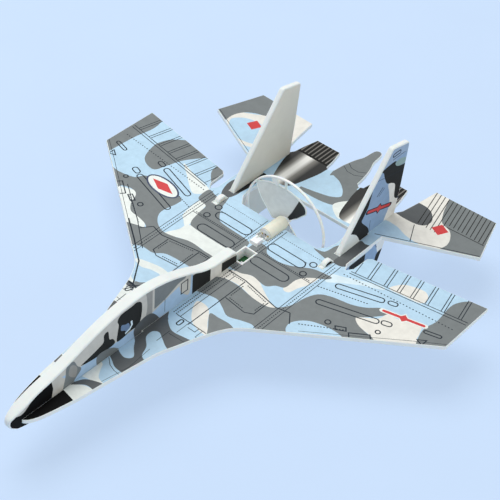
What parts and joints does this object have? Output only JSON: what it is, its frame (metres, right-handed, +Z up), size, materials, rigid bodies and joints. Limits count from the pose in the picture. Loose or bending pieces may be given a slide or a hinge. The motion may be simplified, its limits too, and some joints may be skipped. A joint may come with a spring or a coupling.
{
  "type": "electric foam jet plane",
  "caption": "Slot-together foam jet plane with twin fins, a ring propeller turning in a slot of the deck, and a battery pod with a slide switch underneath.",
  "frame": {"origin": "on the surface that the plane stands on, under the middle of its bounding box", "axes": "+Z up, nose towards -Y, tail towards +Y, port wing towards +X"},
  "size_m": [0.3, 0.3658, 0.102],
  "materials": {
    "printed_foam": "satin",
    "white_foam": "matte",
    "white_plastic": "satin",
    "cream_plastic": "satin",
    "clear_plastic": "gloss",
    "black_plastic": "satin",
    "steel": "satin",
    "magnet": "satin",
    "brass": "satin",
    "copper_wire": "gloss",
    "cell_foil": "satin",
    "foam_tape": "matte",
    "lead_red": "satin",
    "lead_white": "satin",
    "board_green": "satin",
    "led_red": "gloss"
  },
  "bodies": {
    "airframe": {"wing_deck": "printed_foam", "fuselage_profile": "white_foam", "fin_port": "white_foam", "fin_starboard": "white_foam", "motor_bracket": "white_plastic", "motor_sleeve": "cream_plastic", "motor_can": "steel", "field_magnet": "magnet", "shaft_bush": "brass", "motor_end_cap": "white_plastic", "motor_brushes": "brass", "power_pod": "white_plastic", "pod_lid": "white_plastic", "pod_screws": "steel", "battery_cell": "cell_foil", "battery_pad": "foam_tape", "battery_leads": "lead_red", "control_board": "board_green", "receiver_chip": "black_plastic", "motor_driver": "black_plastic", "crystal_can": "steel", "status_led": "led_red", "charge_socket": "white_plastic", "charge_pins": "brass", "switch_body": "steel", "switch_pins": "brass", "motor_leads": "lead_white", "aerial_wire": "black_plastic"},
    "rotor": {"rotor_coil": "copper_wire", "commutator": "brass", "motor_shaft": "steel", "propeller": "clear_plastic"},
    "switch_knob": {"switch_slider": "black_plastic"}
  },
  "joints": [
    {"name": "propeller_spin", "type": "hinge", "parent": "airframe", "child": "rotor", "pos_m": [0, 0.072, 0.0387], "axis": [0, 1, 0], "continuous": true},
    {"name": "switch_slide", "type": "slide", "parent": "airframe", "child": "switch_knob", "axis": [0, 1, 0], "range_m": [0, 0.002]}
  ]
}
